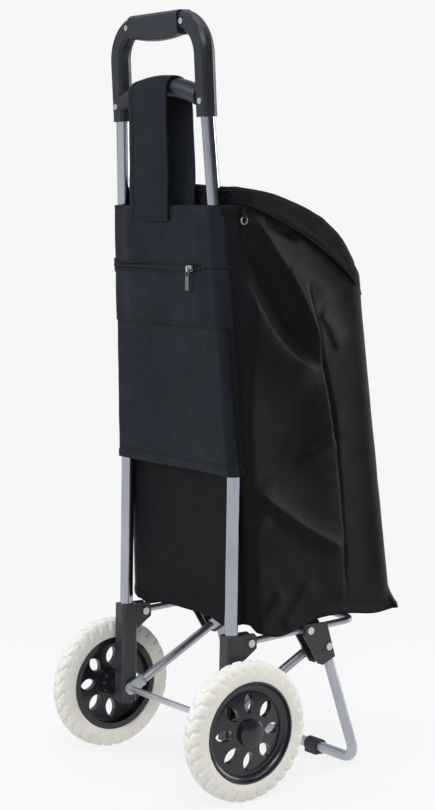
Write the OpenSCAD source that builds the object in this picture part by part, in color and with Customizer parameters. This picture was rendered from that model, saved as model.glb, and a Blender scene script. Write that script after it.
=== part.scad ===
// Two-wheeled shopping trolley: folding tube frame, wheels, moulded grip and a soft bag.
// Units are millimetres. +Z is up, +X is the right-hand side, +Y is the front of the bag.
// Everything is drawn with the ground under the axle at the origin, and centred by place().

/* [Wheels] */
// Outside diameter of a wheel
wheel_d = 165; // [160:1:170]
// Width of a tyre
tyre_w = 25; // [22:1:26]
// Distance between the middle planes of the wheels
track = 283.6; // [282:0.2:290]

/* [Frame] */
// Outside diameter of the upright tubes
tube_d = 16; // [14:0.5:16]
// Distance between the uprights at the wheels
upright_gap = 220.8; // [220:0.2:222]
// Height where the uprights bend backwards
bend_z = 376; // [370:1:390]
// Angle at which the uprights lean back
lean = 3.88; // [3:0.02:4.2]
// Angle by which each upright leans inwards
converge = 3.19; // [3:0.01:3.4]
// Overall height of the trolley
total_h = 909; // [900:1:915]

/* [Fold] */
// Diameter of the platform rod
rod_d = 8; // [6:0.5:8]
// Reach of the platform rod in front of its pivots
rod_reach = 165; // [155:1:170]
// Diameter of the stand tube
stand_d = 13; // [11:0.5:13]
// Distance of the foot tube in front of the axle
foot_y = 198; // [190:1:204]
// Diameter of the braces
brace_d = 10; // [8:0.5:10]

/* [Bag] */
// Width of the bag at its base
bag_w = 250; // [240:1:252]
// Front face of the bag at its base, measured from the axle
bag_front = 247; // [235:1:250]
// Height of the bag's underside
bag_base = 200; // [199:1:204]
// Thickness of the bag's cloth and its lining
cloth = 3; // [2:0.5:4]

/* [Handle] */
// Width of the grip's legs
grip_w = 23; // [22.5:0.5:24]
// Depth of the grip's legs
grip_t = 19; // [18.5:0.5:20]
// Width of the carry strap
strap_w = 78; // [60:1:82]

/* [Hidden] */
$fn = 64;

LEFT = -1;
RIGHT = 1;
FIT = 0.05;       // radial clearance of pins, shafts and pushed-together parts

wheel_r = wheel_d / 2;
tube_r = tube_d / 2;
upright_x = upright_gap / 2;
upright_y = 1.7;
upright_foot = 65;
wall = 1.2;
mid_y = (bag_front - wheel_r) / 2;

// Pivots of the fold, as [y, z]
P0 = [0, wheel_r];
P1 = [25, 178];
P2 = [112.7, 183.1];
P3 = [142, 160.6];
pivot_x = upright_x - 0.4;
pin_r = 3;
head_r = 4.6;
head_t = 2.5;

// Sleeve brackets round the feet of the uprights
sleeve_w = 22;
sleeve_top = 189;
ear_in = 4.7;
ear_out = 7.7;

// Grip, in the plane of the leaning uprights: heights run along the tubes from the bend
grip_foot = 412;
grip_top = (total_h - bend_z) / cos(lean) - grip_w / 2 + 0.2;
grip_x = 85.6;
corner_r = 41;
lip_z = 584;
hand_w = 28;
hand_t = 23.5;
hand_half = 50;
hand_l = grip_top + grip_w / 2 - hand_w / 2 + 0.3;
belly_arc = 250;
tube_end = 475;
screw_x = 56;
screw_l = 430;
bar_r = 11.5;
bar_arc = 210;
bar_mid = 449.3 - bar_arc;
peg_l = 436.5;

// Wheel
hub_r = 59.3;
axle_r = 4;
axle_half = track / 2 + 13.5;
boss_r = 16;
cap_r = 16.5;
cap_dome = 40.6;
web_dome = 211;
web_centre = 200.7;
web_t = 7;

// Bag
bag_back = 15;
bag_side = bag_w / 2;
front_lean = 8.5;
back_lean = 2.2;

module place() {
    translate([0, -mid_y, 0]) children();
}

// Turns a drawing in the Y-Z plane into a plate of thickness t, centred on x
module plate(x, t) {
    translate([x - t / 2, 0, 0]) rotate([90, 0, 90]) linear_extrude(t) children();
}

// A rod along X through the point p of the Y-Z plane
module pin(x0, x1, p, r) {
    translate([min(x0, x1), p[0], p[1]]) rotate([0, 90, 0]) cylinder(h = abs(x1 - x0), r = r);
}

// The leaning plane of the uprights, X across and Y up the tubes; +Z faces the user
module lean_plane() {
    translate([0, upright_y, bend_z]) rotate([lean, 0, 0]) rotate([90, 0, 0]) children();
}

// Points along the Bezier curve that the points p steer
function steered(p, t) =
    len(p) == 1 ? p[0] : steered([for (i = [0:len(p) - 2]) p[i] + (p[i + 1] - p[i]) * t], t);
function curve(p, steps = 14) = [for (i = [0:steps]) steered(p, i / steps)];
function leg_x(l) = upright_x - l * tan(converge);

// A straight piece of leg in the leaning plane, from height a to height b
module leg_rod(side, a, b, r) {
    translate([side * leg_x(a), a, 0]) rotate([-90, 0, side * converge])
        cylinder(h = (b - a) / cos(converge), r = r);
}

// ---- uprights ----
bend_a = acos(cos(lean) * cos(converge));

// Half-space above the mitre where an upright bends, or below it when keep is -1
module mitre_side(side, keep) {
    az = atan2(-sin(lean) * cos(converge), -side * sin(converge));
    translate([side * upright_x, upright_y, bend_z]) rotate([0, bend_a / 2, az])
        translate([-50, -50, keep > 0 ? 0.01 : -400.01]) cube([100, 100, keep > 0 ? 600 : 400]);
}

// The foot and the leaning part of an upright meet at the mitre
module upright_foot_part(side, r, extra) {
    translate([side * upright_x, upright_y, upright_foot - extra])
        cylinder(h = bend_z - upright_foot + 4 + extra, r = r);
}

module upright_lean_part(side, r, extra) {
    lean_plane() leg_rod(side, -4, tube_end + extra, r);
}

module upright_tube(side) {
    color("silver") place() {
        difference() {
            intersection() {
                upright_foot_part(side, tube_r, 0);
                mitre_side(side, -1);
            }
            upright_foot_part(side, tube_r - wall, 1);
            pin(side * (upright_x - 15), side * (upright_x + 15), P0, axle_r + FIT);
        }
        difference() {
            intersection() {
                upright_lean_part(side, tube_r, 0);
                mitre_side(side, 1);
            }
            upright_lean_part(side, tube_r - wall, 1);
            lean_plane() translate([side * leg_x(screw_l), screw_l, -grip_t])
                cylinder(h = 2 * grip_t, r = 1.8);
        }
    }
}
module left_upright_tube() { upright_tube(LEFT); }
module right_upright_tube() { upright_tube(RIGHT); }

// ---- grip ----
module grip_section(grow) {
    intersection() {
        square([grip_w + 2 * grow, grip_t + 2 * grow], center = true);
        circle(r = 11.9 + grow);
    }
}

module grip_leg(side) {
    translate([side * grip_x, grip_foot, 0]) rotate([-90, 0, 0])
        linear_extrude(grip_top - corner_r - grip_foot) grip_section(0);
    translate([side * (grip_x - corner_r), grip_top - corner_r, 0])
        mirror([side < 0 ? 1 : 0, 0, 0])
            rotate_extrude(angle = 90) translate([corner_r, 0]) grip_section(0);
}

module grip_outer() {
    grip_leg(LEFT);
    grip_leg(RIGHT);
    translate([corner_r - grip_x, grip_top, 0]) rotate([90, 0, 90])
        linear_extrude(2 * (grip_x - corner_r)) grip_section(0);
    // thicker sleeve for the hand, with the fingers' belly under it
    translate([-hand_half, hand_l, 0]) rotate([90, 0, 90]) linear_extrude(2 * hand_half)
        intersection() {
            square([hand_w, hand_t], center = true);
            circle(r = 15.8);
        }
    translate([0, hand_l - 7.3 + belly_arc, 0]) rotate([0, 0, 259])
        rotate_extrude(angle = 22) translate([belly_arc, 0]) circle(r = 11);
}

module grip_screw_places() {
    for (s = [LEFT, RIGHT]) {
        translate([s * screw_x, grip_top - 1.6, 0]) children();
        translate([s * leg_x(screw_l), screw_l, 0]) children();
    }
}

module crossbar_solid() {
    translate([0, bar_mid, 0]) rotate([0, 0, 66]) rotate_extrude(angle = 48)
        translate([bar_arc, 0]) circle(r = bar_r);
}

module crossbar_pegs(r) {
    for (s = [LEFT, RIGHT])
        translate([s * 71, peg_l, 0]) rotate([0, s * 90, 0]) cylinder(h = 6.5, r = r);
}

// half = 1 is the rear shell, facing the user, and half = -1 the front one
module grip_shell(half) {
    color([0.16, 0.17, 0.19]) place() lean_plane() difference() {
        intersection() {
            grip_outer();
            translate([-200, 300, half > 0 ? 0.1 : -50.1]) cube([400, 400, 50]);
        }
        for (s = [LEFT, RIGHT]) leg_rod(s, grip_foot - 5, tube_end + 0.2, tube_r + FIT);
        crossbar_pegs(4 + FIT);
        grip_screw_places() {
            translate([0, 0, -8]) cylinder(h = 30, r = half > 0 ? 1.8 : 1.5 + FIT);
            if (half > 0) translate([0, 0, 8.5]) cylinder(h = 20, r = 3.7);
        }
    }
}
module grip_front_shell() { grip_shell(-1); }
module grip_rear_shell() { grip_shell(1); }

module grip_screws() {
    color("silver") place() lean_plane() grip_screw_places() {
        translate([0, 0, -7.5]) cylinder(h = 17, r = 1.5);
        difference() {
            translate([0, 0, 8.6]) cylinder(h = 2.2, r = 3.4);
            translate([0, 0, 10.3]) for (a = [0, 90])
                rotate([0, 0, a]) translate([-2.2, -0.4, 0]) cube([4.4, 0.8, 2]);
        }
    }
}

module crossbar() {
    color([0.16, 0.17, 0.19]) place() lean_plane() {
        difference() {
            crossbar_solid();
            for (m = [0, 1]) mirror([m, 0, 0]) {
                translate([grip_x - 9, grip_foot - 60, -30]) cube([60, 200, 60]);
                translate([grip_x, grip_foot - 20, 0]) rotate([-90, 0, 0])
                    linear_extrude(90) grip_section(FIT);
            }
        }
        crossbar_pegs(4);
    }
}

// ---- sleeve brackets ----
module ear_outline() {
    polygon([[8, 189], [30, 189], [34, 185], [34, 171], [11, 155], [8, 155]]);
}

module sleeve_bracket(side) {
    color([0.13, 0.13, 0.15]) place() difference() {
        union() {
            translate([side * upright_x, upright_y, upright_foot])
                linear_extrude(sleeve_top - upright_foot) intersection() {
                    square(sleeve_w, center = true);
                    circle(r = 13.4);
                }
            for (s = [LEFT, RIGHT])
                plate(side * pivot_x + s * (ear_in + ear_out) / 2, ear_out - ear_in) ear_outline();
        }
        translate([side * upright_x, upright_y, upright_foot - 1])
            cylinder(h = sleeve_top, r = tube_r + FIT);
        pin(side * (upright_x - 20), side * (upright_x + 20), P0, axle_r + FIT);
        pin(side * (upright_x - 20), side * (upright_x + 20), P1, pin_r + FIT);
    }
}
module left_sleeve_bracket() { sleeve_bracket(LEFT); }
module right_sleeve_bracket() { sleeve_bracket(RIGHT); }

module tube_end_plugs() {
    color([0.1, 0.1, 0.11]) place() for (s = [LEFT, RIGHT])
        translate([s * upright_x, upright_y, upright_foot - 3]) {
            cylinder(h = 2.9, r = tube_r + 1);
            cylinder(h = 11, r = tube_r - wall - FIT);
        }
}

// ---- rivets: a shank with a head at each end ----
module rivet(x0, x1, p) {
    pin(x0, x1, p, pin_r);
    pin(x0, x0 - head_t, p, head_r);
    pin(x1, x1 + head_t, p, head_r);
}

module ear_rivets() {
    color("gainsboro") place() for (s = [LEFT, RIGHT])
        rivet(s * pivot_x - ear_out - 0.1, s * pivot_x + ear_out + 0.1, P1);
}

// ---- axle ----
module axle() {
    color("silver") place() pin(-axle_half, axle_half, P0, axle_r);
}

module ring_x(x0, x1, r_out, r_in) {
    difference() {
        pin(x0, x1, P0, r_out);
        pin(min(x0, x1) - 1, max(x0, x1) + 1, P0, r_in);
    }
}

module axle_spacers() {
    inner = upright_x + sleeve_w / 2 + 0.1;
    color([0.1, 0.1, 0.11]) place() for (s = [LEFT, RIGHT])
        ring_x(s * inner, s * (track / 2 - 12.4), 8, axle_r + FIT);
}

module axle_washers() {
    color("silver") place() for (s = [LEFT, RIGHT])
        ring_x(s * (track / 2 + 8.4), s * (track / 2 + 9.4), 8, axle_r + FIT);
}

module axle_push_nuts() {
    color("silver") place() for (s = [LEFT, RIGHT])
        ring_x(s * (track / 2 + 9.5), s * (track / 2 + 11.5), 7, axle_r + FIT);
}

// ---- wheels: drawn about +X pointing outwards, then put on the axle ----
module on_axle(side) {
    place() translate([side * track / 2, P0[0], P0[1]]) rotate([0, side * 90, 0]) children();
}

module tyre(side) {
    color([0.86, 0.85, 0.82]) on_axle(side) rotate_extrude($fn = 96) intersection() {
        translate([hub_r + FIT, -tyre_w / 2]) square([wheel_r - hub_r - FIT, tyre_w]);
        translate([wheel_r - 14.5, 0]) circle(r = 14.5);
    }
}
module left_tyre() { tyre(LEFT); }
module right_tyre() { tyre(RIGHT); }

// Leaf-shaped hole: two arcs crossing at both tips
module leaf(length, width) {
    r = (length * length + width * width) / (4 * width);
    intersection_for(s = [-1, 1]) translate([0, s * (r - width / 2)]) circle(r = r);
}

module hub_profile() {
    difference() {
        union() {
            translate([52, -11]) square([hub_r - 52, 23.5]);
            translate([48, -2.4]) square([5, 8]);
            intersection() {
                translate([14, -6]) square([35, 18]);
                difference() {
                    translate([0, -web_centre]) circle(r = web_dome);
                    translate([0, -web_centre]) circle(r = web_dome - web_t);
                }
            }
            translate([7 + FIT, -11]) square([boss_r - 7 - FIT, 23.5]);
        }
        translate([hub_r - 9.8, 12.5]) circle(r = 8);
        translate([0, 8]) square([10, 10]);
    }
}

module hub(side) {
    color([0.05, 0.05, 0.06]) on_axle(side) difference() {
        rotate_extrude($fn = 96) hub_profile();
        for (a = [0 : 45 : 315]) rotate([0, 0, a]) translate([34, 0, 0])
            linear_extrude(30, center = true) leaf(24, 14);
    }
}
module left_hub() { hub(LEFT); }
module right_hub() { hub(RIGHT); }

module hub_bush(side) {
    color([0.8, 0.8, 0.78]) on_axle(side) difference() {
        translate([0, 0, -12]) cylinder(h = 20, r = 7);
        translate([0, 0, -13]) cylinder(h = 22, r = axle_r + FIT);
    }
}
module left_hub_bush() { hub_bush(LEFT); }
module right_hub_bush() { hub_bush(RIGHT); }

module hub_cap(side) {
    color([0.05, 0.05, 0.06]) on_axle(side) rotate_extrude($fn = 96) difference() {
        intersection() {
            translate([0, 12.6]) square([cap_r, 5.9]);
            translate([0, 18.5 - cap_dome]) circle(r = cap_dome, $fn = 240);
        }
        translate([-1, 12.5]) square([10.5, 3.5]);
    }
}
module left_hub_cap() { hub_cap(LEFT); }
module right_hub_cap() { hub_cap(RIGHT); }

// ---- folding platform ----
rod_slope = atan2(P2[1] - P1[1], P2[0] - P1[0]);
rod_corner = 16;

module platform_rod() {
    r = rod_d / 2;
    side_len = rod_reach - rod_corner;
    color([0.75, 0.76, 0.78]) place() translate([0, P1[0], P1[1]]) rotate([rod_slope, 0, 0])
        difference() {
            union() {
                for (s = [LEFT, RIGHT]) {
                    translate([s * pivot_x, 0, 0]) rotate([-90, 0, 0]) cylinder(h = side_len, r = r);
                    pin(s * pivot_x - 4.2, s * pivot_x + 4.2, [0, 0], 6.5);
                    pin(s * pivot_x - 6.5, s * pivot_x + 6.5, [norm(P2 - P1), 0], 6);
                    translate([s * (pivot_x - rod_corner), side_len, 0])
                        mirror([s < 0 ? 1 : 0, 0, 0])
                            rotate_extrude(angle = 90) translate([rod_corner, 0]) circle(r = r);
                }
                pin(rod_corner - pivot_x, pivot_x - rod_corner, [rod_reach, 0], r);
            }
            for (s = [LEFT, RIGHT], p = [0, norm(P2 - P1)])
                pin(s * pivot_x - 10, s * pivot_x + 10, [p, 0], pin_r + FIT);
        }
}

// ---- stand ----
foot_z = stand_d / 2 + 3;
leg_tilt = atan2(foot_y - P3[0] - 1, P3[1] - foot_z);
leg_len = norm([foot_y - P3[0] - 1, P3[1] - foot_z]);
leg_bend = 25;
cheek_in = 6.7;
cheek_out = 9.2;

module foot_frame() {
    translate([0, foot_y, foot_z]) rotate([leg_tilt, 0, 0]) children();
}

module stand_solid(r, extra) {
    for (s = [LEFT, RIGHT]) {
        translate([s * pivot_x, 0, leg_bend]) cylinder(h = leg_len + 8 - leg_bend + extra, r = r);
        translate([s * (pivot_x - leg_bend), 0, leg_bend]) rotate([90, 0, 0])
            rotate([0, 0, s < 0 ? 180 : 270])
                rotate_extrude(angle = 90) translate([leg_bend, 0]) circle(r = r);
    }
    pin(leg_bend - pivot_x, pivot_x - leg_bend, [0, 0], r);
}

module stand_tube() {
    color([0.75, 0.76, 0.78]) place() difference() {
        foot_frame() difference() {
            stand_solid(stand_d / 2, 0);
            stand_solid(stand_d / 2 - 1.5, 1);
        }
        for (s = [LEFT, RIGHT])
            pin(s * pivot_x - 10, s * pivot_x + 10, P3, pin_r + FIT);
    }
}

module cheek_outline() {
    polygon([[104, 177], [106, 191], [139, 191], [153, 147], [134, 138.5], [127, 141]]);
}

module stand_bracket(side) {
    color([0.13, 0.13, 0.15]) place() difference() {
        union() {
            for (s = [LEFT, RIGHT])
                plate(side * pivot_x + s * (cheek_in + cheek_out) / 2, cheek_out - cheek_in)
                    cheek_outline();
            plate(side * pivot_x, 2 * cheek_in + 1)
                polygon([[137, 140], [153, 147], [152, 149.6], [136, 142.6]]);
        }
        for (p = [P2, P3]) pin(side * pivot_x - 15, side * pivot_x + 15, p, pin_r + FIT);
        foot_frame() translate([side * pivot_x, 0, 0]) cylinder(h = 300, r = stand_d / 2 + FIT);
    }
}
module left_bracket() { stand_bracket(LEFT); }
module right_bracket() { stand_bracket(RIGHT); }

module upper_rivets() {
    color("gainsboro") place() for (s = [LEFT, RIGHT])
        rivet(s * pivot_x - cheek_out - 0.1, s * pivot_x + cheek_out + 0.1, P2);
}

module lower_rivets() {
    color("gainsboro") place() for (s = [LEFT, RIGHT]) {
        pin(s * (pivot_x - cheek_out - 1.4), s * (pivot_x + cheek_out + 0.1), P3, pin_r);
        pin(s * (pivot_x + cheek_out + 0.1), s * (pivot_x + cheek_out + 2.6), P3, head_r);
        pin(s * (pivot_x - cheek_out - 0.1), s * (pivot_x - cheek_out - 1.4), P3, head_r);
    }
}

module foot_pad(side) {
    x = side * 30;
    color([0.12, 0.12, 0.13]) place() difference() {
        union() {
            pin(x - 11, x + 11, [foot_y, foot_z], foot_z);
            translate([x - 11, foot_y - 8, 0]) cube([22, 16, foot_z]);
        }
        pin(x - 12, x + 12, [foot_y, foot_z], stand_d / 2 + FIT);
        translate([x - 12, foot_y - 20, foot_z]) rotate([30, 0, 0]) cube([24, 40, 20]);
    }
}
module left_foot_pad() { foot_pad(LEFT); }
module right_foot_pad() { foot_pad(RIGHT); }

// ---- braces: a tube with flattened ends, beside the sleeve and beside the bracket ----
brace_x = pivot_x - 14.5;
eye_t = 4;
brace_len = norm(P3 - P0);
brace_rise = atan2(P3[1] - P0[1], P3[0] - P0[0]);

module brace(side) {
    flat = 21;
    color([0.75, 0.76, 0.78]) place() translate([side * brace_x, P0[0], P0[1]])
        rotate([brace_rise, 0, 0]) difference() {
            union() {
                translate([side * -1.7, flat, 0]) rotate([-90, 0, 0])
                    cylinder(h = brace_len - 2 * flat, r = brace_d / 2);
                translate([-eye_t / 2, 0, -7.5]) cube([eye_t, brace_len, 15]);
                for (y = [0, brace_len]) pin(-eye_t / 2, eye_t / 2, [y, 0], 7.5);
            }
            pin(-10, 10, [0, 0], axle_r + FIT);
            pin(-10, 10, [brace_len, 0], pin_r + FIT);
            translate([side * -1.7, flat + 2, 0]) rotate([-90, 0, 0])
                cylinder(h = brace_len - 2 * flat - 4, r = brace_d / 2 - 1.2);
            for (z = [-1, 1])
                translate([-5, flat, z > 0 ? brace_d / 2 : -brace_d / 2 - 10])
                    cube([10, brace_len - 2 * flat, 10]);
        }
}
module left_brace() { brace(LEFT); }
module right_brace() { brace(RIGHT); }

module brace_rivets() {
    color("gainsboro") place() for (s = [LEFT, RIGHT]) {
        pin(s * (brace_x - eye_t / 2 - 0.1), s * (brace_x + eye_t / 2), P3, pin_r);
        pin(s * (brace_x - eye_t / 2 - 0.1), s * (brace_x - eye_t / 2 - 2.1), P3, head_r);
    }
}

// ---- bag ----
// Plan of the bag reaching from y = a to y = b, with both corners at b rounded
module bag_plan(half_w, a, b, r) {
    in = b > a ? b - r : b + r;
    translate([-half_w, min(a, in)]) square([2 * half_w, abs(in - a)]);
    translate([r - half_w, min(in, b)]) square([2 * (half_w - r), r]);
    for (x = [r - half_w, half_w - r]) translate([x, in]) circle(r = r);
}

// The front and the back of the bag lean by different angles, so each has its own prism
module bag_volume(inset) {
    s = bag_side - inset;
    r = 36 - inset;
    intersection() {
        translate([0, bag_front, bag_base]) rotate([front_lean, 0, 0]) translate([0, 0, -80])
            linear_extrude(700) bag_plan(s, -450, -inset, r);
        translate([0, bag_back, bag_base]) rotate([back_lean, 0, 0]) translate([0, 0, -80])
            linear_extrude(700) bag_plan(s, 400, inset, r);
        translate([-200, -200, bag_base + inset]) cube([400, 600, 600]);
    }
}

// Everything above the mouth: a high back edge, then sides that fall towards the front
module above_mouth() {
    plate(0, 400) polygon([[-100, 706], [2, 706], [2, 690], [100, 660], [150, 636], [182, 604],
        [300, 590], [300, 950], [-100, 950]]);
}

module bag_body() {
    color([0.09, 0.09, 0.11]) place() difference() {
        bag_volume(0);
        bag_volume(cloth);
        above_mouth();
    }
}

module base_board() {
    w = bag_w - 24;
    color([0.2, 0.2, 0.22]) place() translate([-w / 2, bag_back + 12, bag_base + cloth + 0.5])
        linear_extrude(3) difference() {
            square([w, bag_front - bag_back - 24]);
            for (x = [0, w], y = [0, bag_front - bag_back - 24]) translate([x, y]) circle(r = 16);
        }
}

// Cloth panel behind the uprights, with a return round each tube
panel_top = 687;
panel_len = (panel_top - bend_z) / cos(lean) - 0.5;

module panel_sheet(grow, t, z0, l0, l1) {
    translate([0, 0, z0]) linear_extrude(t) polygon([
        [-leg_x(l0) - grow, l0], [leg_x(l0) + grow, l0],
        [leg_x(l1) + grow, l1], [-leg_x(l1) - grow, l1]]);
}

module rear_panel() {
    edge = tube_r + 3.5;
    color([0.11, 0.11, 0.13]) place() lean_plane() {
        panel_sheet(edge, 2.5, tube_r + 0.6, 0, panel_len);
        for (s = [LEFT, RIGHT])
            translate([s * (leg_x(0) + edge), 0, 0]) rotate([0, 0, s * converge])
                translate([s < 0 ? 0 : -2.5, 0.5, -11]) cube([2.5, panel_len - 1, tube_r + 14]);
    }
}

pocket_low = 168;
zip_l = (615 - bend_z) / cos(lean);

module rear_pocket() {
    color([0.11, 0.11, 0.13]) place() lean_plane()
        panel_sheet(tube_r - 1, 2.2, tube_r + 3.2, pocket_low, zip_l - 4.5);
}

zip_x0 = -98;
zip_x1 = 78;

module pocket_zip() {
    color([0.16, 0.16, 0.18]) place() lean_plane()
        translate([zip_x0, zip_l - 4, tube_r + 3.2]) cube([zip_x1 - zip_x0, 8, 1.6]);
}

slider_x = 60;
module zip_slider() {
    color("gainsboro") place() lean_plane()
        translate([slider_x, zip_l, tube_r + 5.2]) difference() {
            union() {
                translate([-4.5, -3.5, 0]) cube([9, 7, 2.5]);
                translate([-1.2, -3, 2]) cube([2.4, 6, 4]);
            }
            translate([-2, -1, 4.2]) rotate([0, 90, 0]) cylinder(h = 4, r = 1, $fn = 24);
        }
}

// Hangs straight down from the slider's eye
puller_p = [upright_y - (tube_r + 9.4) * cos(lean) - (zip_l - 1) * sin(lean),
    bend_z - (tube_r + 9.4) * sin(lean) + (zip_l - 1) * cos(lean)];
module zip_puller() {
    color("gainsboro") place() {
        pin(slider_x - 3.2, slider_x + 3.2, puller_p, 0.7);
        for (s = [-1, 1]) translate([slider_x + s * 2.6 - 0.7, puller_p[0] - 0.7, puller_p[1] - 9])
            cube([1.4, 1.4, 9.5]);
        translate([slider_x - 3.3, puller_p[0] - 0.9, puller_p[1] - 24]) cube([6.6, 1.8, 16]);
    }
}

// Carry strap: up the rear panel, over the crossbar and down into the bag
strap_t = 2;
module carry_strap() {
    bar_l = bar_mid + bar_arc;
    r = bar_r + 0.5;
    down = panel_len - 16 - bar_l;
    color([0.11, 0.11, 0.13]) place() lean_plane()
        translate([-strap_w / 2 - 8, bar_l, 0]) rotate([0, 90, 0]) linear_extrude(strap_w) {
            difference() {
                circle(r = r + strap_t);
                circle(r = r);
                translate([-30, -60]) square([60, 60]);
            }
            polygon([[-r, 0], [-r - strap_t, 0], [-r - strap_t, down], [-r, down]]);
            polygon([[r, 0], [r + strap_t, 0], [6, down + 11], [4, down + 11]]);
        }
}

module mouth_rings() {
    color("gainsboro") place() for (s = [LEFT, RIGHT])
        translate([s * (bag_side + 1.6), -1.5, 670]) rotate([0, 90, 0])
            rotate_extrude() translate([4, 0]) circle(r = 1.1, $fn = 24);
}

// ---- flap: a cloth lid with side skirts, hinged along the bag's back edge ----
// Side outline of the flap, or of the room under it when inset is the cloth's thickness
module flap_side(inset) {
    back = inset > 0 ? -30 : -8;
    top = 711.5 - inset;
    front = 198 - inset;
    polygon([
        [back, 560],
        [back, top],
        each curve([[0, top], [100, 706 - inset], [184 - inset, 668 - inset], [front, 585]]),
        [front, 560],
    ]);
}

// Everything under the edge of the side skirts, which falls in one sweep to the lip
module below_flap() {
    polygon([
        [-40, 707.2],
        [4, 707.2],
        each curve([[11, 687], [78, 664], [130, 630], [180, lip_z]]),
        [240, lip_z],
        [240, 400],
        [-40, 400],
    ]);
}

module bag_flap() {
    half = bag_side + 0.6 + cloth;
    color([0.1, 0.1, 0.12]) place() difference() {
        plate(0, 2 * half) flap_side(0);
        plate(0, 2 * half - 2 * cloth) flap_side(cloth);
        plate(0, 4 * half) below_flap();
    }
}

left_upright_tube();
right_upright_tube();
grip_front_shell();
grip_rear_shell();
grip_screws();
crossbar();
left_sleeve_bracket();
right_sleeve_bracket();
tube_end_plugs();
ear_rivets();
axle();
axle_spacers();
axle_washers();
axle_push_nuts();
left_tyre();
left_hub();
left_hub_bush();
left_hub_cap();
right_tyre();
right_hub();
right_hub_bush();
right_hub_cap();
platform_rod();
left_bracket();
right_bracket();
upper_rivets();
lower_rivets();
stand_tube();
left_foot_pad();
right_foot_pad();
left_brace();
right_brace();
brace_rivets();
bag_body();
base_board();
rear_panel();
rear_pocket();
pocket_zip();
zip_slider();
zip_puller();
carry_strap();
mouth_rings();
bag_flap();
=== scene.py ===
import math

import bpy
import numpy as np
from mathutils import Matrix, Vector


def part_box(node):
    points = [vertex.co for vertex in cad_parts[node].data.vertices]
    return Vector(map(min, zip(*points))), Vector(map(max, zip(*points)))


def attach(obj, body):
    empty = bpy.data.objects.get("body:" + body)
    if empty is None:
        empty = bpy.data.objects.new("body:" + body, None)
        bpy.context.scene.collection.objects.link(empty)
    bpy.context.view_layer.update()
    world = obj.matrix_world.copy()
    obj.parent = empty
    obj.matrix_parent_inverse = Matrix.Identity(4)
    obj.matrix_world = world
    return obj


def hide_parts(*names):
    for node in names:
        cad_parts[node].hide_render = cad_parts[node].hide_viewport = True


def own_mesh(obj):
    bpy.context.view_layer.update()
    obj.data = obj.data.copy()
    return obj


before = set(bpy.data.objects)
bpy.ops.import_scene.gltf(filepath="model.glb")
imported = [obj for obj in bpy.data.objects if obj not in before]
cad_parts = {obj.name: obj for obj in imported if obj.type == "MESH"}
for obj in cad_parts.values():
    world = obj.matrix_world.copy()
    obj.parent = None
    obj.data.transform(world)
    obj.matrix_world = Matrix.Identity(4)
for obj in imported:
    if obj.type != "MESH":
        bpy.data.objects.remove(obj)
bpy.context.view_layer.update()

# All lengths below are in millimetres, measured from the ground under the middle of the axle:
# +X to the right wheel, +Y to the front of the bag, +Z up.
AXLE_LO, AXLE_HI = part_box("axle")
ORIGIN = np.array([0.0, (AXLE_LO.y + AXLE_HI.y) / 2, 0.0])


def metres(p):
    return np.asarray(p, float) * 0.001 + ORIGIN


def box_mm(node):
    lo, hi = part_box(node)
    return (np.array(lo) - ORIGIN) * 1000, (np.array(hi) - ORIGIN) * 1000


# ---------------------------------------------------------------- camera
# It looks from the rear right, a little from above.
AZ, PITCH, ROLL = math.radians(53.63), math.radians(5.5), math.radians(0.87)
CAMERA_AT = [1838.01, -1295.52, 666.35]
LENS = 83.755
fwd = np.array([-math.sin(AZ) * math.cos(PITCH), math.cos(AZ) * math.cos(PITCH), -math.sin(PITCH)])
right = np.array([math.cos(AZ), math.sin(AZ), 0.0])
up = np.cross(right, fwd)
cam_x = right * math.cos(ROLL) + up * math.sin(ROLL)
cam_y = -right * math.sin(ROLL) + up * math.cos(ROLL)
camera = bpy.data.cameras.new("camera")
camera.sensor_width = 36
camera.lens = LENS
camera.clip_end = 60
cam = bpy.data.objects.new("camera", camera)
bpy.context.scene.collection.objects.link(cam)
cam_axes = np.array([cam_x, cam_y, -fwd]).T
cam_rows = [[*axes, at] for axes, at in zip(cam_axes, metres(CAMERA_AT))]
cam.matrix_world = Matrix(cam_rows + [[0, 0, 0, 1]])
bpy.context.scene.camera = cam
bpy.context.scene.view_settings.view_transform = "Standard"


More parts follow.
